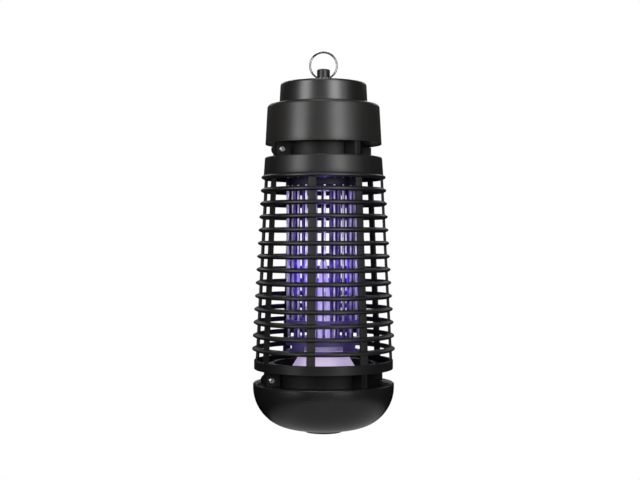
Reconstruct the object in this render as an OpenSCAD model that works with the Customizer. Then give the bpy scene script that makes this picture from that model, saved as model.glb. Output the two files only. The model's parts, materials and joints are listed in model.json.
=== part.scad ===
// Lantern-shaped electric bug zapper: stepped cap with a hanging ring, slatted cage,
// rod grid around a violet lamp, and a twist-off tray. Millimetres, +Z up.
// The underside of the foot is z = 0 and the axis of the lantern is x = y = 0.
// Angles named "bearing" are counted from the front (-Y) towards +X.

/* [Heights] */
// Underside of the foot to the deck of the tray
tray_deck_z = 36.1; // [35:0.1:37]
// Height of the open neck between tray and cage
lower_neck_h = 10.3; // [9.8:0.1:11]
// Top of the collar that closes the cage
collar_top_z = 201.5; // [201:0.1:202]
// Height of the open neck between cage and cap
upper_neck_h = 9.6; // [9.4:0.1:10]
// Height of the wide lower tier of the cap
cap_lower_h = 29.2; // [28:0.2:30]
// Height of the narrow upper tier of the cap
cap_upper_h = 15.8; // [15:0.2:17]

/* [Cage] */
// Number of upright ribs
rib_count = 8; // [6:1:8]
// Width of a rib, along the cage wall
rib_w = 5.8; // [5:0.1:6.5]
// Thickness of a rib, across the cage wall
rib_t = 1.4; // [1.2:0.1:1.6]
// Outer radius of the ribs at the top of the cage
rib_top_r = 43.8; // [43.4:0.1:43.9]
// Outer radius of the ribs at the bottom of the cage
rib_bottom_r = 50.7; // [50.2:0.1:50.9]
// Bearing of the first rib
rib_bearing = -10.2; // [-12:0.1:-9]
// Number of slat rings
slat_count = 14; // [10:1:14]
// Distance from slat to slat
slat_pitch = 9.66; // [9:0.02:9.66]
// Thickness of a slat at its root
slat_t = 3.6; // [3:0.1:4]
// Outer radius of the top slat
slat_top_r = 45.7; // [45:0.1:46]
// Outer radius of the bottom slat
slat_bottom_r = 52.5; // [52.2:0.1:53]
// Outer radius of the collar at its foot
collar_r = 44; // [43.9:0.1:44.3]
// Outer radius of the band that closes the cage below
band_r = 51.1; // [51:0.1:51.3]
// Height of that band
band_h = 6.7; // [6:0.1:7]

/* [Cap] */
// Outer radius of the lower tier at its foot
cap_lower_r = 42.8; // [42.4:0.1:43]
// Outer radius of the upper tier at its foot
cap_upper_r = 32.5; // [32:0.1:33]
// Inward lean of both tiers, per millimetre of height
cap_lean = 0.05; // [0.03:0.01:0.06]
// Wall of the moulded covers
wall = 2; // [1.8:0.1:2.2]

/* [Hanger] */
// Outer diameter of the hanging ring
ring_d = 21.3; // [20:0.1:22]
// Diameter of the ring's wire
ring_wire_d = 1.5; // [1.4:0.1:1.6]
// Diameter of the hanger post
post_d = 9.6; // [9:0.1:10]
// Height of the hanger post above the cap
post_h = 10.5; // [9:0.1:11]
// Height of the ring's pivot above the cap
pivot_h = 3.3; // [3.2:0.1:3.6]

/* [Grid and lamp] */
// Number of live and return rods together
rod_count = 24; // [12:2:24]
// Diameter of a grid rod
rod_d = 1.7; // [1.4:0.1:1.8]
// Radius of the circle that the live and return rods stand on
rod_circle_r = 26.5; // [26.2:0.1:26.6]
// Number of guard rods, in a ring of their own round the lamp
guard_count = 24; // [12:2:24]
// Diameter of a guard rod
guard_d = 2; // [1.6:0.1:2]
// Radius of the circle that the guard rods stand on
guard_circle_r = 21; // [20.5:0.1:21.5]
// Bearing of the first rod
rod_bearing = 2; // [0:0.5:4]
// Outer radius of the rod holders
holder_r = 27.7; // [27.6:0.1:28]
// Height of the tip of the lamp
lamp_tip_z = 126; // [110:1:150]
// Largest radius of the lamp's glass
lamp_r = 7.5; // [7:0.1:7.6]

/* [Twist locks] */
// Bearing of the web that carries the lock screws
lock_bearing = -55.2; // [-57:0.1:-53]
// Number of webs in each neck
web_count = 4; // [4:1:4]
// Thickness of one plate of a web
plate_t = 2.2; // [2:0.1:2.3]
// Turn that frees the tray or the cap
twist = 35; // [30:1:38]
// Play between parts that turn on each other
play = 0.3; // [0.3:0.05:0.4]

/* [Tray] */
// Outer radius of the tray
tray_r = 51.85; // [51.5:0.05:52]
// Radius of the tray's rounded shoulder
shoulder_r = 30.3; // [30:0.1:30.6]
// Radius of the foot
foot_r = 14.3; // [13:0.1:15]

/* [Hidden] */
$fn = 96;
eps = 0.01;

// levels
base_z = tray_deck_z + lower_neck_h;
floor_z = collar_top_z + upper_neck_h;
shelf_z = floor_z + cap_lower_h;
cap_top_z = shelf_z + cap_upper_h;
pivot_z = cap_top_z + pivot_h;
band_top_z = base_z + band_h;
slat_one_z = 186.8;
slat_root_w = 1.2;
slat_rim_w = 0.5;
slat_rim_t = 1.8;
slat_edge_t = 0.8;
collar_z = slat_one_z + slat_t / 2;
cage_mid_z = 120;

// tray
tray_wall = 2;
shoulder_turn = 72.8;
shoulder_z = tray_deck_z - 2.7;
deck_underside_z = tray_deck_z - 1.8;
belly_r = 50;
belly_start_r = tray_r - shoulder_r * (1 - cos(shoulder_turn));
belly_start_z = shoulder_z - shoulder_r * sin(shoulder_turn);
belly_end_r = belly_start_r - belly_r * cos(shoulder_turn);
foot_h = belly_start_z - belly_r * (1 - sin(shoulder_turn));
rim_chamfer = 0.5;

// necks
drum_t = 2;
lower_drum_r = 38.5;
lower_web_r = 50.3;
upper_drum_r = 29.5;
upper_web_r = 42.3;
drum_gap = 0.4;
deck_t = 2;
tab_t = 2;
tab_reach = 3;
tab_angle = 18;
tab_offset = 22;
notch_angle = tab_angle + 4;
groove_d = 0.4;
groove_h = 0.5;
groove_pitch = 1.2;

// lock screws
lock_head_r = 2.5;
lock_head_h = 1.7;
lock_shank_r = 1.5;
lock_tip = 5.3;
boss_r = 3.9;
boss_bore_r = 2.2;
boss_depth = 5.8;
upper_lock_r = 38;
upper_lock_z = floor_z - 5;
lower_lock_r = 46.9;
lower_lock_z = tray_deck_z + 4.5;

// play of pressed-in rods and shanks
fit = 0.05;

// cap interior
stem_bore_r = 2.6;
washer_t = 1;
pillar_bore_r = 1.45;
floor_t = 2.2;
roof_t = 2.2;
floor_top_z = floor_z + floor_t;
pillar_r = 3;
pillar_circle_r = 35.5;
pillar_bearing = lock_bearing + 25;
upper_fillet = 2;
lower_fillet = 2.7;
upper_top_r = cap_upper_r - cap_lean * cap_upper_h;
lower_top_r = cap_lower_r - cap_lean * cap_lower_h;
shelf_hole_r = 30.3;
board_z = floor_top_z + 9.8;
board_t = 1.6;
board_r = 31;
board_top_z = board_z + board_t;
standoff_circle_r = 27;
gland_z = 230.1;
gland_bore_r = 3.2;
gland_inner_y = 35;
gland_outer_y = 48;
gland_seat_y = 42.5;
gland_seat_r = 7.8;
gland_body_r = 5.4;

// grid
holder_z = 180.6;
holder_t = 5;
hub_r = 24;
hub_t = 2;
hub_boss_r = 2.6;
hub_bearing = lock_bearing + 45;
flange_t = 2.2;
hub_screw_r = 20.8;
live_ring_z = holder_z + holder_t + 1.7;
return_ring_z = live_ring_z + 3;
contact_t = 0.8;
spacer_z = 78.4;
spacer_h = 4.4;
plate_z = 65.8;
plate_h = 3;
lower_drum_z = 58.1;
lead_pos = [10.6, 12];
live_lead_r = 25.1;
return_lead_r = 26.75;
guard_bearing = 0.5;
guard_socket = 2;
holder_screw_x = 12.2;
cone_top_z = 60;
cone_top_r = 15.7;
cone_mid_z = 47.5;
cone_mid_r = 23.5;
cone_foot_z = 42.6;
cone_foot_r = 26.5;
cone_t = 1.5;
lamp_foot_z = 52.1;
lamp_shell_r = 6.5;
lamp_collar_z = 62.3;

SLATS = [for (i = [1 : slat_count]) str("cage_slat_", i)];

BLACK = [0.085, 0.085, 0.09];
STEEL = [0.78, 0.78, 0.8];
BRASS = [0.8, 0.62, 0.3];
PALE = [0.86, 0.83, 0.9];

// Points of an arc round [x, y], from angle a to angle b
function arc(x, y, r, a, b, steps) =
    [for (i = [0 : steps]) let (t = a + (b - a) * i / steps) [x + r * cos(t), y + r * sin(t)]];

// Outer radius of a rib at height z
function rib_r(z) =
    rib_top_r + (rib_bottom_r - rib_top_r) * (collar_z - z) / (collar_z - band_top_z);

// Height and outer radius of slat i, counted from the top
function slat_z(i) = slat_one_z - slat_pitch * (i - 1);
function slat_r(i) = slat_top_r + (slat_bottom_r - slat_top_r) * (i - 1) / (slat_count - 1);

// Places its children at a bearing, facing the front
module at_bearing(bearing, r = 0, z = 0) {
    rotate([0, 0, bearing])
        translate([0, -r, z])
            children();
}

// Repeats its children evenly all round
module around(count, bearing = 0, r = 0, z = 0) {
    for (i = [0 : count - 1])
        at_bearing(bearing + 360 * i / count, r, z)
            children();
}

// Plain tube, from z0 to z1
module tube(r_out, r_in, z0, z1) {
    translate([0, 0, z0])
        difference() {
            cylinder(r = r_out, h = z1 - z0);
            translate([0, 0, -1])
                cylinder(r = r_in, h = z1 - z0 + 2);
        }
}

// Part of a tube, centred on a bearing
module sector(r_out, r_in, z0, z1, angle, bearing) {
    rotate([0, 0, bearing - angle / 2 - 90])
        rotate_extrude(angle = angle)
            translate([r_in, z0])
                square([r_out - r_in, z1 - z0]);
}

// Tabs or notches of a twist lock, all round
module lock_sectors(r_out, r_in, z0, z1, angle, bearing) {
    for (i = [0 : web_count - 1])
        sector(r_out, r_in, z0, z1, angle, bearing + 360 * i / web_count);
}

// One plate of every web; side is 1 towards growing bearings and -1 the other way
module web_plates(side, r_in, r_out, z0, z1) {
    around(web_count, lock_bearing)
        translate([side > 0 ? play / 2 : -play / 2 - plate_t, -r_out, z0])
            cube([plate_t, r_out - r_in, z1 - z0]);
}

// Fine grooves round a drum
module drum_grooves(r, z0, count) {
    for (i = [0 : count - 1])
        tube(r + 1, r - groove_d, z0 + i * groove_pitch, z0 + i * groove_pitch + groove_h);
}

// Rod along the tangent at the lock bearing, from offset x0 to offset x1
module lock_rod(r, x0, x1, circle_r, z) {
    at_bearing(lock_bearing, circle_r, z)
        translate([x0, 0, 0])
            rotate([0, 90, 0])
                cylinder(r = r, h = x1 - x0);
}

// Block that stops the twist, on the web opposite the lock screw
module stop_block(r_in, r_out, width, z0, z1) {
    at_bearing(lock_bearing + 180)
        translate([-play / 2 - width, -r_out, z0])
            cube([width, r_out - r_in, z1 - z0]);
}

// Screw of a twist lock: domed head, cross recess and plain shank
module lock_screw(circle_r, z) {
    head_x = play / 2 + plate_t;
    difference() {
        union() {
            lock_rod(lock_shank_r, -lock_tip, head_x + eps, circle_r, z);
            at_bearing(lock_bearing, circle_r, z)
                translate([head_x, 0, 0])
                    rotate([0, 90, 0])
                        rotate_extrude()
                            polygon(concat(
                                [[0, 0], [lock_head_r, 0]],
                                arc(lock_head_r - 0.9, lock_head_h - 0.9, 0.9, 0, 90, 5),
                                [[0, lock_head_h]]
                            ));
        }
        for (turn = [0, 90])
            at_bearing(lock_bearing, circle_r, z)
                rotate([turn, 0, 0])
                    translate([head_x + lock_head_h - 0.8, -0.35, -1.5])
                        cube([1, 0.7, 3]);
    }
}

// Pan-head screw standing on its tip at z = 0, with a slot
module pan_screw(shank_r, shank_h, head_r, head_h) {
    difference() {
        union() {
            cylinder(r = shank_r, h = shank_h + eps);
            translate([0, 0, shank_h])
                rotate_extrude()
                    polygon(concat(
                        [[0, 0], [head_r, 0]],
                        arc(head_r - 0.5, head_h - 0.5, 0.5, 0, 90, 4),
                        [[0, head_h]]
                    ));
        }
        translate([-0.25, -head_r, shank_h + head_h - 0.5])
            cube([0.5, 2 * head_r, 1]);
    }
}

// ---------------------------------------------------------------- hanger

module hanging_ring() {
    ring_r = (ring_d - ring_wire_d) / 2;
    color(STEEL)
        translate([0, 0, pivot_z + ring_r])
            rotate([90, 0, 0])
                rotate_extrude()
                    translate([ring_r, 0])
                        circle(d = ring_wire_d, $fn = 24);
}

module hanger_post() {
    post_r = post_d / 2;
    stem_r = 2.5;
    stem_h = 10;
    eye_r = 2.3;
    color(BLACK)
        difference() {
            translate([0, 0, cap_top_z])
                rotate_extrude()
                    polygon(concat(
                        [[0, -stem_h], [stem_r, -stem_h], [stem_r, 0], [post_r + 0.2, 0]],
                        [[post_r + 0.2, 0.8], [post_r, 1.1]],
                        arc(post_r - 1.2, post_h - 1.2, 1.2, 0, 90, 6),
                        [[0, post_h]]
                    ));
            translate([-post_d, 0, pivot_z])
                rotate([0, 90, 0])
                    cylinder(r = eye_r, h = 2 * post_d);
        }
}

module hanger_washer() {
    color(STEEL)
        tube(6.5, stem_bore_r, cap_top_z - roof_t - washer_t, cap_top_z - roof_t);
}

module hanger_nut() {
    nut_top_z = cap_top_z - roof_t - washer_t;
    nut_h = 4;
    color(STEEL)
        difference() {
            translate([0, 0, nut_top_z - nut_h])
                cylinder(r = 5, h = nut_h, $fn = 6);
            translate([0, 0, nut_top_z - nut_h - 1])
                cylinder(r = stem_bore_r, h = nut_h + 2);
        }
}

// ---------------------------------------------------------------- cap

module cap_top_shell() {
    lip_r = shelf_hole_r - 0.2;
    lip_h = 2.6;
    color(BLACK)
        rotate_extrude()
            polygon(concat(
                [[stem_bore_r, cap_top_z]],
                arc(upper_top_r - upper_fillet, cap_top_z - upper_fillet, upper_fillet, 90, 3, 8),
                [[cap_upper_r, shelf_z], [lip_r, shelf_z], [lip_r, shelf_z - lip_h]],
                [[lip_r - 1.8, shelf_z - lip_h], [lip_r - 1.8, shelf_z + 2]],
                [[upper_top_r - wall, cap_top_z - roof_t], [stem_bore_r, cap_top_z - roof_t]]
            ));
}

module cap_lower_shell() {
    shelf_t = 2.2;
    seat_t = 2.1;
    color(BLACK)
        difference() {
            union() {
                rotate_extrude()
                    polygon(concat(
                        [[shelf_hole_r, shelf_z]],
                        arc(lower_top_r - lower_fillet, shelf_z - lower_fillet, lower_fillet, 90, 3, 8),
                        [[cap_lower_r, floor_z], [cap_lower_r - wall, floor_z]],
                        [[lower_top_r - wall, shelf_z - shelf_t], [shelf_hole_r, shelf_z - shelf_t]]
                    ));
                around(web_count, pillar_bearing, pillar_circle_r, floor_top_z)
                    cylinder(r = pillar_r, h = shelf_z - shelf_t - floor_top_z + eps);
                translate([0, gland_seat_y - seat_t, gland_z])
                    rotate([-90, 0, 0])
                        cylinder(r = gland_seat_r, h = seat_t);
            }
            around(web_count, pillar_bearing, pillar_circle_r, floor_top_z - 1)
                cylinder(r = pillar_bore_r, h = 14);
            translate([0, gland_inner_y - 5, gland_z])
                rotate([-90, 0, 0])
                    cylinder(r = gland_body_r + 0.1, h = gland_seat_y - gland_inner_y + 6);
        }
}

module cap_floor() {
    standoff_r = 2.5;
    color(BLACK)
        difference() {
            union() {
                translate([0, 0, floor_z])
                    cylinder(r = cap_lower_r - wall - 0.25, h = floor_t);
                around(4, lock_bearing, standoff_circle_r, floor_z + 1)
                    cylinder(r = standoff_r, h = board_z - floor_z - 1);
            }
            around(web_count, pillar_bearing, pillar_circle_r, floor_z - 1) {
                cylinder(r = 1.5, h = 5);
                cylinder(r = 2.9, h = 2.2);
            }
            around(4, lock_bearing, standoff_circle_r, board_z - 6)
                cylinder(r = 1, h = 7);
            around(4, hub_bearing, hub_screw_r, floor_z - 1)
                cylinder(r = 1.4, h = 5);
            translate([lead_pos.x, lead_pos.y, floor_z - 1])
                cylinder(r = 1.4, h = 5);
            hv_lead_holes(floor_z - 1, 5);
        }
}

module cap_screws() {
    color(STEEL)
        around(web_count, pillar_bearing, pillar_circle_r, floor_z + 1.2)
            rotate([180, 0, 0])
                translate([0, 0, -13])
                    pan_screw(1.4, 13, 2.8, 1.1);
}

module cord_gland() {
    rim_r = 7;
    rim_t = 2;
    nose_r = 4.7;
    color(BLACK)
        translate([0, 0, gland_z])
            rotate([-90, 0, 0])
                rotate_extrude()
                    polygon([
                        [gland_bore_r, gland_inner_y],
                        [gland_body_r, gland_inner_y],
                        [gland_body_r, gland_seat_y],
                        [rim_r, gland_seat_y],
                        [rim_r, gland_seat_y + rim_t - 0.4],
                        [rim_r - 0.4, gland_seat_y + rim_t],
                        [gland_body_r + 0.2, gland_seat_y + rim_t],
                        [nose_r, gland_outer_y],
                        [gland_bore_r, gland_outer_y]
                    ]);
}

module gland_nut() {
    color(BLACK)
        translate([0, gland_inner_y + 0.6, gland_z])
            rotate([-90, 0, 0])
                difference() {
                    cylinder(r = 7.2, h = 3, $fn = 6);
                    translate([0, 0, -1])
                        cylinder(r = gland_body_r + fit, h = 5);
                }
}

// ---------------------------------------------------------------- electronics

module circuit_board() {
    color([0.12, 0.3, 0.16])
        difference() {
            translate([0, 0, board_z])
                cylinder(r = board_r, h = board_t);
            around(4, lock_bearing, standoff_circle_r, board_z - 1)
                cylinder(r = 1.1, h = 4);
            translate([lead_pos.x, lead_pos.y, board_z - 1])
                cylinder(r = 1.4, h = 4);
        }
}

module board_screws() {
    color(STEEL)
        around(4, lock_bearing, standoff_circle_r, board_z - 5)
            pan_screw(0.95, 5 + board_t, 2, 1.3);
}

module hv_transformer() {
    core = [18, 15, 4];
    coil_h = 6;
    color([0.2, 0.19, 0.18])
        translate([-9, -5, board_top_z]) {
            for (z = [0, coil_h + core.z])
                translate([-core.x / 2, -core.y / 2, z])
                    cube([core.x, core.y, core.z - (z > 0 ? 1 : 0)]);
            translate([0, 0, core.z])
                cylinder(r = 6.8, h = coil_h);
        }
}

module capacitors() {
    color([0.55, 0.12, 0.1])
        for (pos = [[11, -14], [14, -4], [15, 6]])
            translate([pos.x, pos.y, board_top_z])
                rotate_extrude()
                    polygon(concat(
                        [[0, 0], [4.4, 0]],
                        arc(3.8, 9.4, 0.6, 0, 90, 4),
                        [[0, 10]]
                    ));
}

module diodes() {
    color([0.12, 0.12, 0.12])
        for (i = [0 : 3])
            translate([-8 + i * 4, 12, board_top_z + 1.3])
                rotate([90, 0, 0])
                    cylinder(r = 1.3, h = 5);
}

module terminal_block() {
    color([0.2, 0.42, 0.3])
        difference() {
            translate([-24, 6, board_top_z])
                cube([8, 12, 9]);
            for (y = [9, 15]) {
                translate([-25, y, board_top_z + 3])
                    rotate([0, 90, 0])
                        cylinder(r = 1.6, h = 6);
                translate([-20, y, board_top_z + 5])
                    cylinder(r = 1.7, h = 5);
            }
        }
}

// Holes for the two leads from the board to the contact rings
module hv_lead_holes(z, h) {
    at_bearing(lock_bearing + 25, live_lead_r, z)
        cylinder(r = 0.7, h = h);
    at_bearing(lock_bearing + 205, return_lead_r, z)
        cylinder(r = 0.7, h = h);
}

module hv_leads() {
    live_top = live_ring_z + contact_t;
    return_top = return_ring_z + contact_t;
    color([0.7, 0.12, 0.1]) {
        at_bearing(lock_bearing + 25, live_lead_r, live_top)
            cylinder(r = 0.5, h = board_z - live_top);
        at_bearing(lock_bearing + 205, return_lead_r, return_top)
            cylinder(r = 0.5, h = board_z - return_top);
    }
}

// ---------------------------------------------------------------- upper neck

module upper_neck() {
    drum_foot_z = collar_top_z - 6.4;
    flange_z = floor_z - flange_t;
    deck_foot_z = collar_top_z - deck_t;
    color(BLACK)
        difference() {
            union() {
                tube(upper_drum_r, upper_drum_r - drum_t, drum_foot_z, floor_z);
                tube(upper_drum_r - 1, 17.6, flange_z, floor_z);
                web_plates(1, upper_drum_r - 1, upper_web_r, collar_top_z + play, floor_z);
                lock_sectors(upper_drum_r + tab_reach, upper_drum_r - 1,
                    deck_foot_z - play - tab_t, deck_foot_z - play, tab_angle, lock_bearing + tab_offset);
            }
            drum_grooves(upper_drum_r, collar_top_z + 1.8, 3);
            around(4, hub_bearing, hub_screw_r, flange_z - 1)
                cylinder(r = 1.4, h = 4);
            hv_lead_holes(flange_z - 1, 4);
            lock_rod(lock_shank_r + fit, 0, 4, upper_lock_r, upper_lock_z);
        }
}

module upper_lock_screw() {
    color(STEEL)
        lock_screw(upper_lock_r, upper_lock_z);
}

// ---------------------------------------------------------------- grid

// Every second rod of the circle, from z0 to z1
module rod_set(first, z0, z1, r) {
    around(rod_count / 2, rod_bearing + first * 360 / rod_count, rod_circle_r, z0)
        cylinder(r = r, h = z1 - z0);
}

// The guard rods, or their sockets with a little play
module guard_set(z0, z1, play_r = 0) {
    around(guard_count, guard_bearing, guard_circle_r, z0)
        cylinder(r = guard_d / 2 + play_r, h = z1 - z0);
}

module grid_upper_holder() {
    hub_top_z = floor_z - flange_t;
    color(BLACK)
        difference() {
            union() {
                translate([0, 0, holder_z])
                    cylinder(r = holder_r, h = holder_t);
                tube(hub_r, hub_r - hub_t, holder_z + 1, hub_top_z);
                around(4, hub_bearing, hub_screw_r, holder_z + 1)
                    cylinder(r = hub_boss_r, h = hub_top_z - holder_z - 1);
            }
            rod_set(0, holder_z - 1, holder_z + holder_t + 1, rod_d / 2 + fit);
            rod_set(1, holder_z - 1, holder_z + holder_t + 1, rod_d / 2 + fit);
            guard_set(holder_z - 1, holder_z + guard_socket, fit);
            around(4, hub_bearing, hub_screw_r, hub_top_z - 10)
                cylinder(r = 1.3, h = 12);
            translate([lead_pos.x, lead_pos.y, holder_z - 1])
                cylinder(r = 1.2, h = holder_t + 2);
        }
}

module holder_screws() {
    tip_z = floor_z - flange_t - 8;
    color(STEEL)
        around(4, hub_bearing, hub_screw_r, tip_z)
            pan_screw(1.25, floor_top_z - tip_z, 2.4, 1.5);
}

module live_rods() {
    color(STEEL)
        rod_set(0, spacer_z + 1.7, live_ring_z, rod_d / 2);
}

module return_rods() {
    color(STEEL)
        rod_set(1, plate_z + 1, return_ring_z, rod_d / 2);
}

module guard_rods() {
    color(STEEL)
        guard_set(plate_z + plate_h - guard_socket, holder_z + guard_socket);
}

module live_contact_ring() {
    color(BRASS)
        difference() {
            tube(28, 24.3, live_ring_z, live_ring_z + contact_t);
            rod_set(1, live_ring_z - 1, live_ring_z + 2, rod_d / 2 + 0.8);
        }
}

module return_contact_ring() {
    color(BRASS)
        tube(28, 25.9, return_ring_z, return_ring_z + contact_t);
}

module grid_spacer_ring() {
    color(BLACK)
        difference() {
            tube(holder_r, 24.8, spacer_z, spacer_z + spacer_h);
            rod_set(0, spacer_z + 1.7, spacer_z + spacer_h + 1, rod_d / 2 + fit);
            rod_set(1, spacer_z - 1, spacer_z + spacer_h + 1, rod_d / 2 + fit);
        }
}

module grid_lower_holder() {
    skirt_r = 27.5;
    window_angle = 66;
    color(BLACK)
        difference() {
            union() {
                translate([0, 0, plate_z])
                    cylinder(r = holder_r, h = plate_h);
                tube(skirt_r, skirt_r - 2, lower_drum_z, plate_z + 1);
            }
            translate([0, 0, plate_z - 1])
                cylinder(r = lamp_r + 0.7, h = plate_h + 2);
            rod_set(1, plate_z + 1, plate_z + plate_h + 1, rod_d / 2 + fit);
            guard_set(plate_z + plate_h - guard_socket, plate_z + plate_h + 1, fit);
            for (i = [0 : 3])
                sector(skirt_r + 1, skirt_r - 3, cone_top_z, plate_z - 1.4, window_angle, 90 * i);
            translate([lead_pos.x, lead_pos.y, plate_z - 1])
                cylinder(r = 1.2, h = plate_h + 2);
            for (side = [-1, 1])
                translate([side * holder_screw_x, 0, plate_z - 1])
                    cylinder(r = 1.15, h = 3);
        }
}

module lead_tube() {
    color(BLACK)
        translate([lead_pos.x, lead_pos.y, 0])
            tube(1.75, 1.15, plate_z + plate_h, holder_z);
}

module lamp_leads() {
    color([0.75, 0.75, 0.72])
        for (side = [-1, 1])
            translate([lead_pos.x + side * 0.52, lead_pos.y, plate_z])
                cylinder(r = 0.45, h = board_top_z - plate_z + 0.6);
}

// ---------------------------------------------------------------- lamp and deflector

module lamp_glass() {
    glass_z = plate_z - 0.7;
    glass_t = 0.8;
    waist_z = 71;
    tip_r = 2.6;
    color([0.62, 0.5, 0.95])
        rotate_extrude()
            polygon(concat(
                [[lamp_r - glass_t, glass_z], [lamp_r, glass_z], [lamp_r, waist_z]],
                arc(0, lamp_tip_z - tip_r, tip_r, 0, 90, 8),
                arc(0, lamp_tip_z - tip_r, tip_r - glass_t, 90, 0, 8),
                [[lamp_r - glass_t, waist_z]]
            ));
}

module lamp_base() {
    tip_r = 3;
    tip_h = 2;
    color(BRASS)
        rotate_extrude()
            polygon([
                [0, lamp_foot_z],
                [tip_r, lamp_foot_z],
                [lamp_shell_r, lamp_foot_z + tip_h],
                [lamp_shell_r, lamp_collar_z],
                [lamp_r, lamp_collar_z],
                [lamp_r, plate_z - 0.7],
                [0, plate_z - 0.7]
            ]);
}

module lamp_holder() {
    socket_foot_z = lamp_foot_z - 1.5;
    socket_r = 9;
    color(PALE)
        difference() {
            union() {
                translate([0, 0, cone_top_z])
                    cylinder(r = cone_top_r, h = plate_z - cone_top_z);
                translate([0, 0, socket_foot_z])
                    cylinder(r = socket_r, h = cone_top_z - socket_foot_z + 1);
            }
            translate([0, 0, lamp_collar_z - 0.2])
                cylinder(r = lamp_r + 0.4, h = 10);
            translate([0, 0, lamp_foot_z])
                cylinder(r = lamp_shell_r + play, h = 12);
            for (side = [-1, 1])
                translate([side * holder_screw_x, 0, cone_top_z - 1])
                    cylinder(r = 1.25, h = 12);
        }
}

module lamp_holder_screws() {
    tip_z = plate_z + 1.6;
    head_z = cone_top_z - cone_t;
    color(STEEL)
        for (side = [-1, 1])
            translate([side * holder_screw_x, 0, tip_z])
                rotate([180, 0, 0])
                    pan_screw(1.1, tip_z - head_z, 1.9, 1.1);
}

module deflector_cone() {
    color(PALE)
        difference() {
            rotate_extrude()
                polygon([
                    [9.3, cone_top_z],
                    [cone_top_r, cone_top_z],
                    [cone_mid_r, cone_mid_z],
                    [cone_foot_r, cone_foot_z],
                    [cone_foot_r - cone_t, cone_foot_z],
                    [cone_mid_r - cone_t, cone_mid_z],
                    [cone_top_r - cone_t, cone_top_z - cone_t],
                    [9.3, cone_top_z - cone_t]
                ]);
            for (side = [-1, 1])
                translate([side * holder_screw_x, 0, cone_top_z - 3])
                    cylinder(r = 1.25, h = 5);
        }
}

// ---------------------------------------------------------------- cage

module cage_collar() {
    top_r = collar_r - 0.8;
    fillet = 1.2;
    deck_z = collar_top_z - deck_t;
    color(BLACK)
        difference() {
            union() {
                rotate_extrude()
                    polygon(concat(
                        [[collar_r, collar_z]],
                        arc(top_r - fillet, collar_top_z - fillet, fillet, 3, 90, 5),
                        [[upper_drum_r + drum_gap, collar_top_z], [upper_drum_r + drum_gap, deck_z]],
                        [[top_r - wall, deck_z], [collar_r - wall, collar_z]]
                    ));
                web_plates(-1, upper_drum_r + 0.8, upper_web_r, collar_top_z - 1, floor_z - play);
                lock_rod(boss_r, -boss_depth, -play / 2, upper_lock_r, upper_lock_z);
            }
            lock_sectors(upper_drum_r + tab_reach + 0.5, upper_drum_r - 1,
                deck_z - 1, collar_top_z + 1, notch_angle, lock_bearing + tab_offset + twist);
            lock_rod(boss_bore_r, -boss_depth - 1, 1, upper_lock_r, upper_lock_z);
        }
}

// Wedge of the cage wall that one rib fills, grown all round by a clearance
module rib_solid(bearing, grow = 0) {
    angle = (rib_w + 2 * grow) / rib_r(cage_mid_z) * 180 / PI;
    top_z = collar_z + (grow > 0 ? 1 : 0);
    foot_z = band_top_z - (grow > 0 ? 1 : 0);
    rotate([0, 0, bearing - angle / 2 - 90])
        rotate_extrude(angle = angle)
            polygon([
                [rib_r(foot_z) - rib_t - (grow > 0 ? 3 : 0), foot_z],
                [rib_r(foot_z) + grow, foot_z],
                [rib_r(top_z) + grow, top_z],
                [rib_r(top_z) - rib_t - (grow > 0 ? 3 : 0), top_z]
            ]);
}

module cage_ribs() {
    color(BLACK)
        for (i = [0 : rib_count - 1])
            rib_solid(rib_bearing + 360 * i / rib_count);
}

// Ring of the cage, thick at the root and thin at the rim, notched for the ribs
module cage_slat(i) {
    z = slat_z(i);
    r_in = rib_r(z) - rib_t;
    r_out = slat_r(i);
    root = slat_t / 2;
    color(BLACK)
        difference() {
            translate([0, 0, z])
                rotate_extrude()
                    polygon([
                        [r_in, -root],
                        [r_in + slat_root_w, -root],
                        [r_out - slat_rim_w, -slat_rim_t / 2],
                        [r_out, -slat_edge_t / 2],
                        [r_out, slat_edge_t / 2],
                        [r_out - slat_rim_w, slat_rim_t / 2],
                        [r_in + slat_root_w, root],
                        [r_in, root]
                    ]);
            for (k = [0 : rib_count - 1])
                rib_solid(rib_bearing + 360 * k / rib_count, 0.02);
        }
}

// Floor of the cage, the band round it and the plates that hang from it
module cage_base() {
    hole_r = lower_drum_r + drum_gap;
    edge = 0.3;
    color(BLACK)
        difference() {
            union() {
                rotate_extrude()
                    polygon([
                        [hole_r, base_z],
                        [band_r - edge, base_z],
                        [band_r, base_z + edge],
                        [band_r, band_top_z - edge],
                        [band_r - edge, band_top_z],
                        [band_r - wall, band_top_z],
                        [band_r - wall, base_z + deck_t],
                        [hole_r, base_z + deck_t]
                    ]);
                web_plates(1, lower_drum_r + 0.8, lower_web_r, tray_deck_z + play, base_z + 1);
            }
            lock_sectors(lower_drum_r + tab_reach + 0.5, lower_drum_r - 1,
                base_z - 1, base_z + deck_t + 1, notch_angle, lock_bearing + tab_offset - twist);
            lock_rod(lock_shank_r + fit, 0, 4, lower_lock_r, lower_lock_z);
        }
}

module lower_lock_screw() {
    color(STEEL)
        lock_screw(lower_lock_r, lower_lock_z);
}

// ---------------------------------------------------------------- tray

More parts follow.
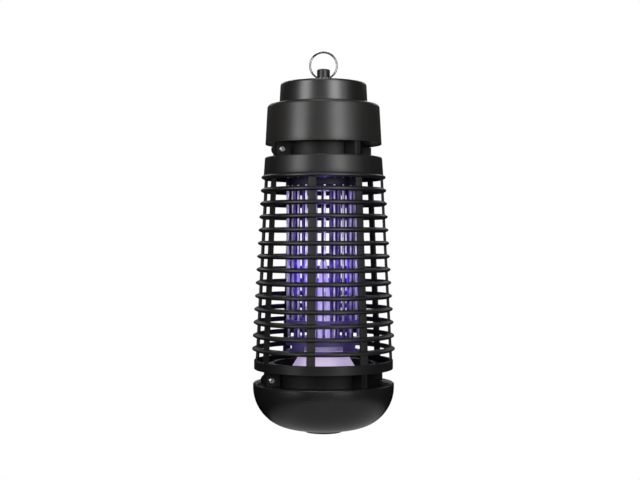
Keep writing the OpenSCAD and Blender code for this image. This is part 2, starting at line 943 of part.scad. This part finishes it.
module tray_neck() {
    drum_foot_z = tray_deck_z - 4;
    tab_z = base_z + deck_t + play;
    color(BLACK)
        difference() {
            union() {
                tube(lower_drum_r, lower_drum_r - drum_t, drum_foot_z, tab_z + tab_t);
                tube(42, lower_drum_r - 1, deck_underside_z - 1.5, deck_underside_z);
                web_plates(-1, lower_drum_r - 1, lower_web_r, tray_deck_z, base_z - play);
                stop_block(lower_web_r - 2 * boss_r, lower_web_r, boss_depth, tray_deck_z, base_z - play);
                lock_sectors(lower_drum_r + tab_reach, lower_drum_r - 1,
                    tab_z, tab_z + tab_t, tab_angle, lock_bearing + tab_offset);
                lock_rod(boss_r, -boss_depth, -play / 2, lower_lock_r, lower_lock_z);
            }
            drum_grooves(lower_drum_r, tray_deck_z + 1, 3);
            lock_rod(boss_bore_r, -boss_depth - 1, 1, lower_lock_r, lower_lock_z);
        }
}

module tray_bowl() {
    deck_r = lower_drum_r + 0.1;
    shoulder_x = tray_r - shoulder_r;
    belly_z = foot_h + belly_r;
    color(BLACK)
        rotate_extrude()
            polygon(concat(
                [[deck_r, tray_deck_z], [tray_r - rim_chamfer, tray_deck_z]],
                [[tray_r, tray_deck_z - rim_chamfer]],
                arc(shoulder_x, shoulder_z, shoulder_r, 0, -shoulder_turn, 18),
                arc(belly_end_r, belly_z, belly_r, -shoulder_turn - 2, -90, 6),
                [[0, foot_h], [0, foot_h + tray_wall]],
                arc(belly_end_r, belly_z, belly_r - tray_wall, -90, -shoulder_turn - 2, 6),
                arc(shoulder_x, shoulder_z, shoulder_r - tray_wall, -shoulder_turn, 0, 18),
                [[tray_r - tray_wall, deck_underside_z], [deck_r, deck_underside_z]]
            ));
}

module tray_foot() {
    chamfer = 0.6;
    color([0.11, 0.11, 0.11])
        rotate_extrude()
            polygon([
                [0, 0],
                [foot_r - chamfer, 0],
                [foot_r, chamfer],
                [foot_r, foot_h],
                [0, foot_h]
            ]);
}

hanging_ring();
hanger_post();
hanger_washer();
hanger_nut();
cap_top_shell();
cap_lower_shell();
cap_floor();
cap_screws();
cord_gland();
gland_nut();
circuit_board();
board_screws();
hv_transformer();
capacitors();
diodes();
terminal_block();
hv_leads();
upper_neck();
upper_lock_screw();
grid_upper_holder();
holder_screws();
live_rods();
return_rods();
guard_rods();
live_contact_ring();
return_contact_ring();
grid_spacer_ring();
grid_lower_holder();
lead_tube();
lamp_leads();
lamp_glass();
lamp_base();
lamp_holder();
lamp_holder_screws();
deflector_cone();
cage_collar();
cage_ribs();
for (i = [1 : slat_count])
    cage_slat(i);
cage_base();
lower_lock_screw();
tray_neck();
tray_bowl();
tray_foot();
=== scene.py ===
import json
import math

import bmesh
import bpy
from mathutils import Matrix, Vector


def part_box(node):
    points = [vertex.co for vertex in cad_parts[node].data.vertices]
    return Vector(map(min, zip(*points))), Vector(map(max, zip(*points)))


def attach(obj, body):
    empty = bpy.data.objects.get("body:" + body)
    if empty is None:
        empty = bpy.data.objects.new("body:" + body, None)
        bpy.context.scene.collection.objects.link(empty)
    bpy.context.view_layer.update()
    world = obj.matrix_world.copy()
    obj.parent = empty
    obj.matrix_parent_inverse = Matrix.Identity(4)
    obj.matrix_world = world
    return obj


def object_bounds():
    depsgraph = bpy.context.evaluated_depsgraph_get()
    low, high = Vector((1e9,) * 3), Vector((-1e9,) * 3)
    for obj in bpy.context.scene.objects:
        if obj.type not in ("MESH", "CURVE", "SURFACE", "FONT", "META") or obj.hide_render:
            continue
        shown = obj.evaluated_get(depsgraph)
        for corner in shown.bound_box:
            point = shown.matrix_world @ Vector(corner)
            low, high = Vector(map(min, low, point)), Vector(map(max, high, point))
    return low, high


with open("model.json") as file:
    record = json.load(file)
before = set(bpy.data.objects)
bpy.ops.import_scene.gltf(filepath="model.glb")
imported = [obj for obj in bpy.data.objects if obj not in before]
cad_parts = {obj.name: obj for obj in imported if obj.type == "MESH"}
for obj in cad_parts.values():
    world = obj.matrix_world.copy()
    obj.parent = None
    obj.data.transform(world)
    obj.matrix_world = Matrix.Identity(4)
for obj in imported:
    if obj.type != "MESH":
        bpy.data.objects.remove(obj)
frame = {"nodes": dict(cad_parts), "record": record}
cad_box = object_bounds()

scene = bpy.context.scene
nodes = frame["nodes"]


# ------------------------------------------------------------------ places taken from the frame

low, high = cad_box
HALF_WIDTH = (high.x - low.x) / 2
TOTAL_HEIGHT = high.z - low.z
LAMP_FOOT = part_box("lamp_glass")[0].z
HOLDER_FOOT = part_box("grid_upper_holder")[0].z


# ------------------------------------------------------------------ camera

# level with the middle of the object; lens and sensor in millimetres, pitch and yaw in degrees
CAMERA_DISTANCE = 16 * HALF_WIDTH
CAMERA_HEIGHT = 0.498 * TOTAL_HEIGHT
LENS = 64.1
SENSOR_WIDTH = 36
PITCH = 0.1
YAW = 0.176
camera_data = bpy.data.cameras.new("camera")
camera_data.lens = LENS
camera_data.sensor_width = SENSOR_WIDTH
camera = bpy.data.objects.new("camera", camera_data)
scene.collection.objects.link(camera)
camera.location = (0, -CAMERA_DISTANCE, CAMERA_HEIGHT)
camera.rotation_euler = (math.radians(90 + PITCH), 0, math.radians(YAW))
scene.camera = camera
scene.view_settings.view_transform = "Standard"


# ------------------------------------------------------------------ node helpers

NOISE_ROUGHNESS = 0.55


class Nodes:
    """A small helper that adds and joins the nodes of one material."""

    def __init__(self, name):
        self.material = bpy.data.materials.new(name)
        self.material.use_nodes = True
        self.tree = self.material.node_tree
        self.tree.nodes.clear()
        self.output = self.add("ShaderNodeOutputMaterial")
        self.position = self.add("ShaderNodeTexCoord").outputs["Object"]

    def add(self, kind, **settings):
        node = self.tree.nodes.new(kind)
        for key, value in settings.items():
            setattr(node, key, value)
        return node

    def link(self, source, target):
        self.tree.links.new(source, target)

    def noise(self, scale, detail, stretch=None):
        node = self.add("ShaderNodeTexNoise")
        node.inputs["Scale"].default_value = scale
        node.inputs["Detail"].default_value = detail
        node.inputs["Roughness"].default_value = NOISE_ROUGHNESS
        source = self.position
        if stretch:
            mapping = self.add("ShaderNodeMapping")
            mapping.inputs["Scale"].default_value = stretch
            self.link(source, mapping.inputs["Vector"])
            source = mapping.outputs["Vector"]
        self.link(source, node.inputs["Vector"])
        return node.outputs["Fac"]

    def remap(self, source, low_in, high_in, low_out, high_out):
        node = self.add("ShaderNodeMapRange")
        node.inputs["From Min"].default_value = low_in
        node.inputs["From Max"].default_value = high_in
        node.inputs["To Min"].default_value = low_out
        node.inputs["To Max"].default_value = high_out
        self.link(source, node.inputs["Value"])
        return node.outputs["Result"]

    def ramp(self, source, stops):
        node = self.add("ShaderNodeValToRGB")
        ramp = node.color_ramp
        while len(ramp.elements) < len(stops):
            ramp.elements.new(0.5)
        for element, (place, colour) in zip(ramp.elements, stops):
            element.position = place
            element.color = (*colour, 1)
        self.link(source, node.inputs["Fac"])
        return node.outputs["Color"]

    def math(self, operation, first, second):
        node = self.add("ShaderNodeMath", operation=operation)
        for socket, value in zip(node.inputs, (first, second)):
            if isinstance(value, (int, float)):
                socket.default_value = value
            else:
                self.link(value, socket)
        return node.outputs["Value"]

    def bump(self, height, strength, distance):
        node = self.add("ShaderNodeBump")
        node.inputs["Strength"].default_value = strength
        node.inputs["Distance"].default_value = distance
        self.link(height, node.inputs["Height"])
        return node.outputs["Normal"]

    def shader(self, **values):
        node = self.add("ShaderNodeBsdfPrincipled")
        for key, value in values.items():
            socket = node.inputs[key.replace("_", " ")]
            if isinstance(value, (int, float)):
                socket.default_value = value
            elif isinstance(value, tuple):
                socket.default_value = (*value, 1)[: len(socket.default_value)]
            else:
                self.link(value, socket)
        self.link(node.outputs["BSDF"], self.output.inputs["Surface"])
        return node


# scales of the noises in a plastic, from broad clouds to the grain of the mould
CLOUD_SCALE = 38
FLOW_SCALE = 30
FLOW_STRETCH = (1, 1, 0.12)
GRAIN_SCALE = 3800
GRAIN_DEPTH = 0.00004
CLOUD_SHARE = 0.6
FLOW_SHARE = 0.4


def moulded_plastic(name, colour, light_colour, rough_low, rough_high, grain, specular=0.5, glow=None):
    """Injection-moulded plastic: fine grain, cloudy gloss, flow marks; glow is (colour, strength) of a
    painted glow, a weak emission on a part that is no lamp.
    """
    n = Nodes(name)
    clouds = n.noise(CLOUD_SCALE, detail=4)
    flow = n.noise(FLOW_SCALE, detail=2, stretch=FLOW_STRETCH)
    fine = n.noise(GRAIN_SCALE, detail=2)
    mottle = n.math(
        "ADD", n.math("MULTIPLY", clouds, CLOUD_SHARE), n.math("MULTIPLY", flow, FLOW_SHARE)
    )
    base = n.ramp(mottle, [(0.35, colour), (0.68, light_colour)])
    rough = n.remap(mottle, 0.35, 0.65, rough_low, rough_high)
    shader = n.shader(
        Base_Color=base,
        Roughness=rough,
        Specular_IOR_Level=specular,
        Normal=n.bump(fine, grain, GRAIN_DEPTH),
    )
    # painted glow: emission that stands in for lamp light falling on the part
    if glow:
        shader.inputs["Emission Color"].default_value = (*glow[0], 1)
        shader.inputs["Emission Strength"].default_value = glow[1]
    return n.material


LINE_SCALE = 1800
LINE_STRENGTH = 0.25
LINE_DEPTH = 0.00003
TARNISH_SCALE = 160


def bright_metal(name, colour, dark_colour, rough_low, rough_high, drawn):
    """Plated or drawn metal with slight tarnish; drawn stretches its fine lines."""
    n = Nodes(name)
    lines = n.noise(LINE_SCALE, detail=3, stretch=drawn)
    tarnish = n.noise(TARNISH_SCALE, detail=5)
    base = n.ramp(tarnish, [(0.42, dark_colour), (0.62, colour)])
    rough = n.remap(lines, 0.3, 0.7, rough_low, rough_high)
    n.shader(
        Base_Color=base,
        Metallic=1.0,
        Roughness=rough,
        Normal=n.bump(lines, LINE_STRENGTH, LINE_DEPTH),
    )
    return n.material


HAZE_SCALE = 220
HAZE_SHADE = 0.82
GLASS_ROUGHNESS = 0.12


def glowing_glass(name, colour, strength):
    """Lit glass with a faint cloudiness in its glow."""
    n = Nodes(name)
    haze = n.noise(HAZE_SCALE, detail=2)
    glow = n.ramp(haze, [(0.3, tuple(c * HAZE_SHADE for c in colour)), (0.7, colour)])
    n.shader(
        Base_Color=glow,
        Roughness=GLASS_ROUGHNESS,
        Emission_Color=glow,
        Emission_Strength=strength,
    )
    return n.material


MATERIALS = {
    "housing_black": moulded_plastic(
        "housing_black", (0.009, 0.009, 0.0095), (0.014, 0.014, 0.0145), 0.34, 0.42, 0.22
    ),
    "tray_black": moulded_plastic(
        "tray_black", (0.007, 0.007, 0.0073), (0.0105, 0.0105, 0.011), 0.25, 0.31, 0.2
    ),
    "inner_black": moulded_plastic(
        "inner_black", (0.008, 0.008, 0.009), (0.014, 0.014, 0.016), 0.4, 0.5, 0.3
    ),
    "foot_rubber": moulded_plastic(
        "foot_rubber", (0.02, 0.02, 0.02), (0.032, 0.032, 0.032), 0.6, 0.75, 0.5
    ),
    "ring_chrome": bright_metal(
        "ring_chrome", (0.36, 0.36, 0.37), (0.2, 0.2, 0.21), 0.1, 0.2, (1, 1, 1)
    ),
    "screw_steel": bright_metal(
        "screw_steel", (0.66, 0.66, 0.67), (0.5, 0.5, 0.5), 0.2, 0.34, (1, 1, 1)
    ),
    # painted violet light: both colours of this steel carry a violet tint standing in for the lamp's
    # glow on the rods; the tarnish between them is real
    "grid_steel": bright_metal(
        "grid_steel", (0.74, 0.69, 0.9), (0.42, 0.36, 0.66), 0.26, 0.38, (1, 1, 0.03)
    ),
    "contact_brass": bright_metal(
        "contact_brass", (0.72, 0.52, 0.22), (0.55, 0.38, 0.16), 0.25, 0.4, (1, 1, 1)
    ),
    "pale_plastic": moulded_plastic(
        "pale_plastic", (0.74, 0.72, 0.8), (0.82, 0.8, 0.86), 0.35, 0.45, 0.2
    ),
    "lamp_glass": glowing_glass("lamp_glass", (0.58, 0.47, 0.86), 0.62),
    "board_green": moulded_plastic(
        "board_green", (0.03, 0.16, 0.07), (0.05, 0.22, 0.1), 0.3, 0.4, 0.2
    ),
    "core_ferrite": moulded_plastic(
        "core_ferrite", (0.05, 0.048, 0.045), (0.08, 0.075, 0.07), 0.5, 0.65, 0.6
    ),
    "capacitor_red": moulded_plastic(
        "capacitor_red", (0.34, 0.05, 0.035), (0.42, 0.07, 0.045), 0.15, 0.25, 0.2
    ),
    "diode_black": moulded_plastic(
        "diode_black", (0.02, 0.02, 0.02), (0.03, 0.03, 0.03), 0.25, 0.35, 0.2
    ),
    "terminal_green": moulded_plastic(
        "terminal_green", (0.05, 0.26, 0.12), (0.07, 0.32, 0.15), 0.3, 0.4, 0.2
    ),
    "lead_sheath": moulded_plastic(
        "lead_sheath", (0.4, 0.05, 0.04), (0.48, 0.07, 0.05), 0.35, 0.45, 0.2
    ),
    "lead_pale": moulded_plastic(
        "lead_pale", (0.6, 0.6, 0.56), (0.68, 0.68, 0.64), 0.35, 0.45, 0.2
    ),
}

# a few nodes differ from the rest of their slot: gloss, shade, or painted violet light, a violet tint
# and weak emission that stand in for the lamp's glow on parts inside the grid
NODE_MATERIALS = {
    "cage_base": moulded_plastic(
        "cage_base_black", (0.007, 0.007, 0.0075), (0.011, 0.011, 0.0115), 0.34, 0.42, 0.22, 0.3
    ),
    "cap_top_shell": moulded_plastic(
        "cap_gloss", (0.0095, 0.009, 0.0085), (0.0135, 0.013, 0.0125), 0.31, 0.38, 0.2, 0.88
    ),
    "cap_lower_shell": moulded_plastic(
        "cap_satin", (0.0165, 0.0155, 0.0148), (0.0215, 0.0205, 0.0195), 0.34, 0.41, 0.22, 0.56
    ),
    "upper_neck": moulded_plastic(
        "neck_black", (0.004, 0.004, 0.004), (0.007, 0.007, 0.007), 0.42, 0.52, 0.3, 0.28
    ),
    "tray_neck": moulded_plastic(
        "tray_neck_black", (0.0035, 0.0035, 0.0035), (0.006, 0.006, 0.006), 0.46, 0.56, 0.3, 0.18
    ),
    # painted violet glow: the lilac tint and weak violet emission stand in for the lamp's light on a
    # pale cone
    "deflector_cone": moulded_plastic(
        "cone_painted_violet_glow", (0.7, 0.62, 0.74), (0.78, 0.7, 0.82), 0.4, 0.5, 0.2, 0.4,
        ((0.74, 0.59, 1.0), 0.4)
    ),
    # painted violet glow: the lilac tint and weak violet emission stand in for the lamp's light on the
    # holder
    "lamp_holder": moulded_plastic(
        "lamp_holder_painted_violet_glow", (0.5, 0.46, 0.62), (0.58, 0.54, 0.7), 0.4, 0.5, 0.2, 0.4,
        ((0.6, 0.45, 1.0), 0.16)
    ),
    # painted violet light: the deep violet of these steel rods stands in for the lamp's glow on them
    "guard_rods": bright_metal(
        "guard_steel_painted_violet", (0.24, 0.17, 0.62), (0.1, 0.06, 0.32), 0.3, 0.44, (1, 1, 0.03)
    ),
    # painted violet cast: the dusky violet tint stands in for the lamp's light on the holder's
    # underside
    "grid_upper_holder": moulded_plastic(
        "upper_holder_painted_violet_cast", (0.012, 0.01, 0.024), (0.03, 0.024, 0.06), 0.45, 0.55, 0.3, 0.25
    ),
    # painted violet glow: the indigo tint and faint violet emission stand in for the lamp's light on
    # the spacer
    "grid_spacer_ring": moulded_plastic(
        "spacer_painted_violet_glow", (0.05, 0.04, 0.14), (0.07, 0.055, 0.18), 0.4, 0.5, 0.2, 0.4,
        ((0.3, 0.18, 1.0), 0.07)
    ),
    # painted violet glow: the indigo tint and faint violet emission stand in for the lamp's light on
    # the lower holder
    "grid_lower_holder": moulded_plastic(
        "lower_holder_painted_violet_glow", (0.04, 0.032, 0.11), (0.055, 0.045, 0.14), 0.4, 0.5, 0.2, 0.4,
        ((0.3, 0.18, 1.0), 0.05)
    ),
}

for row in frame["record"]["subparts"]:
    slots = nodes[row["node"]].data.materials
    slots.clear()
    slots.append(NODE_MATERIALS.get(row["node"], MATERIALS[row["material_slot"]]))


# ------------------------------------------------------------------ softened edges

SOFTENED_NODES = ("cap_top_shell", "cap_lower_shell", "cage_collar")
EDGE_WIDTH = 0.00035
EDGE_ANGLE = 35
EDGE_SEGMENTS = 2
WELD_DISTANCE = 0.000002


def soften(node_name):
    """Joins the doubled points of a CAD mesh and rounds its sharp edges a little."""
    thing = nodes[node_name]
    weld = thing.modifiers.new("weld", "WELD")
    weld.merge_threshold = WELD_DISTANCE
    bevel = thing.modifiers.new("soft_edges", "BEVEL")
    bevel.width = EDGE_WIDTH
    bevel.segments = EDGE_SEGMENTS
    bevel.limit_method = "ANGLE"
    bevel.angle_limit = math.radians(EDGE_ANGLE)


for node_name in SOFTENED_NODES:
    soften(node_name)


# ------------------------------------------------------------------ added detail

GRIP_COUNT = 16
GRIP_WIDTH = 0.0008
GRIP_HEIGHT = 0.0006
GRIP_SINK = 0.0003
GRIP_END_GAP = 0.0002
GRIP_START_GAP = 0.0034
GRIP_LEAN = 0.12
GRIP_TOP_SHARE = 0.55
GRIP_TAPER = 0.45
GRIP_EDGE = 0.0001
NOSE_RADIUS = 0.0051


def add_wedge(bm, centre, around, out, along, sizes):
    """One tapered ridge; sizes are its half width, its height and its length."""
    half_width, height, length = sizes
    corners = []
    for end, shrink in ((0.0, 1.0), (length, GRIP_TAPER)):
        top = height * shrink
        for side, lift in ((-1, 0.0), (1, 0.0), (GRIP_TOP_SHARE, top), (-GRIP_TOP_SHARE, top)):
            place = centre + around * (side * half_width) + out * lift + along * end
            corners.append(bm.verts.new(place))
    near = corners[:4]
    far = corners[4:]
    bm.faces.new(reversed(near))
    bm.faces.new(far)
    for index in range(4):
        after = (index + 1) % 4
        bm.faces.new((near[index], near[after], far[after], far[index]))


def gland_grips():
    """Moulded grip ridges round the nose of the cord gland, at the back of the cap."""
    gland_low, gland_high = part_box("cord_gland")
    centre = (gland_low + gland_high) / 2
    nose_end = gland_high.y - GRIP_END_GAP
    nose_start = gland_high.y - GRIP_START_GAP
    bm = bmesh.new()
    for index in range(GRIP_COUNT):
        turn = 2 * math.pi * index / GRIP_COUNT
        out = Vector((math.cos(turn), 0, math.sin(turn)))
        around = Vector((-math.sin(turn), 0, math.cos(turn)))
        foot = Vector((centre.x, nose_start, centre.z)) + out * (NOSE_RADIUS - GRIP_SINK)
        lean = Vector((0, 1, 0)) - out * GRIP_LEAN
        sizes = (GRIP_WIDTH / 2, GRIP_HEIGHT + GRIP_SINK, nose_end - nose_start)
        add_wedge(bm, foot, around, out, lean.normalized(), sizes)
    bmesh.ops.recalc_face_normals(bm, faces=bm.faces)
    mesh = bpy.data.meshes.new("gland_grips")
    bm.to_mesh(mesh)
    bm.free()
    piece = bpy.data.objects.new("gland_grips", mesh)
    scene.collection.objects.link(piece)
    bevel = piece.modifiers.new("soft_edges", "BEVEL")
    bevel.width = GRIP_EDGE
    bevel.segments = EDGE_SEGMENTS
    mesh.materials.append(MATERIALS["housing_black"])
    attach(piece, "head")


gland_grips()


# ------------------------------------------------------------------ stage and light

def seen_by(card, camera=False, glossy=False, diffuse=False):
    """Says which rays meet a stage card."""
    card.visible_camera = camera
    card.visible_glossy = glossy
    card.visible_diffuse = diffuse
    card.visible_transmission = False
    card.visible_shadow = False


def card_mesh(name, size, strength, fall_off=None):
    """A glowing card in the plane z = 0: even, or fading out between the two radii of fall_off."""
    bm = bmesh.new()
    bmesh.ops.create_grid(bm, x_segments=4, y_segments=4, size=size / 2)
    mesh = bpy.data.meshes.new(name)
    bm.to_mesh(mesh)
    bm.free()
    card = bpy.data.objects.new(name, mesh)
    scene.collection.objects.link(card)
    n = Nodes(name)
    shader = n.shader(Base_Color=(0, 0, 0), Roughness=1.0, Specular_IOR_Level=0.0)
    shader.inputs["Emission Color"].default_value = (1, 1, 1, 1)
    shader.inputs["Emission Strength"].default_value = strength
    if fall_off:
        length = n.add("ShaderNodeVectorMath", operation="LENGTH")
        n.link(n.position, length.inputs[0])
        glow = n.remap(length.outputs["Value"], *fall_off, strength, 0.0)
        n.link(glow, shader.inputs["Emission Strength"])
    mesh.materials.append(n.material)
    return card


FLOOR_SIZE = 12
FLOOR_STRENGTH = 1.0
TABLE_GLOW_SIZE = 0.7
TABLE_GLOW_STRENGTH = 0.46
TABLE_GLOW_RADII = (0.06, 0.1)
TABLE_GLOW_PLACE = (0.02, -0.062, -0.001)
ROOM_GREY = 0.035

# the camera sees an even white floor; the object is lit by a small glow in front of its foot
floor = card_mesh("floor", FLOOR_SIZE, FLOOR_STRENGTH)
seen_by(floor, camera=True)
table_glow = card_mesh("table_glow", TABLE_GLOW_SIZE, TABLE_GLOW_STRENGTH, TABLE_GLOW_RADII)
table_glow.location = TABLE_GLOW_PLACE
seen_by(table_glow, glossy=True, diffuse=True)

# the camera sees a white background; everything else sees a dim grey room
world = bpy.data.worlds.new("studio")
scene.world = world
world.use_nodes = True
tree = world.node_tree
tree.nodes.clear()
world_output = tree.nodes.new("ShaderNodeOutputWorld")
mix = tree.nodes.new("ShaderNodeMixShader")
seen = tree.nodes.new("ShaderNodeBackground")
seen.inputs["Color"].default_value = (1, 1, 1, 1)
around = tree.nodes.new("ShaderNodeBackground")
around.inputs["Color"].default_value = (ROOM_GREY, ROOM_GREY, ROOM_GREY, 1)
light_path = tree.nodes.new("ShaderNodeLightPath")
tree.links.new(light_path.outputs["Is Camera Ray"], mix.inputs["Fac"])
tree.links.new(around.outputs["Background"], mix.inputs[1])
tree.links.new(seen.outputs["Background"], mix.inputs[2])
tree.links.new(mix.outputs["Shader"], world_output.inputs["Surface"])


def softbox(name, azimuth, distance, height, width, tall, radiance):
    """An area light at an azimuth round the object, turned to face the object's middle."""
    data = bpy.data.lights.new(name, "AREA")
    data.shape = "RECTANGLE"
    data.size = width
    data.size_y = tall
    data.energy = radiance * width * tall * math.pi
    light = bpy.data.objects.new(name, data)
    scene.collection.objects.link(light)
    turn = math.radians(azimuth)
    light.location = (math.sin(turn) * distance, -math.cos(turn) * distance, height)
    aim = Vector((0, 0, TOTAL_HEIGHT / 2)) - light.location
    light.rotation_euler = aim.to_track_quat("-Z", "Y").to_euler()
    light.visible_camera = False
    light.visible_transmission = False


# name, azimuth, distance, height, width, height of the box, radiance
SOFTBOXES = [
    ("softbox_left", -47.5, 1.0, 0.36, 0.42, 0.7, 6.0),
    ("softbox_right", 29, 1.0, 0.36, 0.44, 0.7, 6.6),
    ("softbox_front", -8, 1.0, 0.15, 0.5, 0.5, 0.5),
    ("softbox_right_edge", 56, 1.0, 0.36, 0.22, 0.7, 1.3),
    ("softbox_back", 180, 1.1, 0.8, 0.5, 0.45, 6.0),
    ("softbox_back_left", -150, 1.1, 0.75, 0.4, 0.45, 1.6),
    ("softbox_back_right", 150, 1.1, 0.75, 0.4, 0.45, 1.6),
    ("softbox_top", 0, 0.3, 1.2, 0.8, 0.8, 1.8),
]
for row in SOFTBOXES:
    softbox(*row)


def inner_light(name, radius, z, power, colour):
    """A violet light inside the grid, where the lamp throws its glow."""
    data = bpy.data.lights.new(name, "POINT")
    data.shadow_soft_size = radius
    data.energy = power
    data.color = colour
    light = bpy.data.objects.new(name, data)
    scene.collection.objects.link(light)
    light.location = (0, 0, z)
    light.visible_camera = False


VIOLET = (0.27, 0.17, 1.0)
GLOW_LEVELS = 5
GLOW_RADIUS = 0.006
GLOW_POWER_LOW = 0.1
GLOW_POWER_DROP = 0.045
GLOW_ABOVE_FOOT = 0.012
GLOW_BELOW_HOLDER = 0.06
glow_low = LAMP_FOOT + GLOW_ABOVE_FOOT
glow_high = HOLDER_FOOT - GLOW_BELOW_HOLDER
for level in range(GLOW_LEVELS):
    share = level / (GLOW_LEVELS - 1)
    height = glow_low + (glow_high - glow_low) * share
    power = GLOW_POWER_LOW - GLOW_POWER_DROP * share
    inner_light(f"glow_{level + 1}", GLOW_RADIUS, height, power, VIOLET)
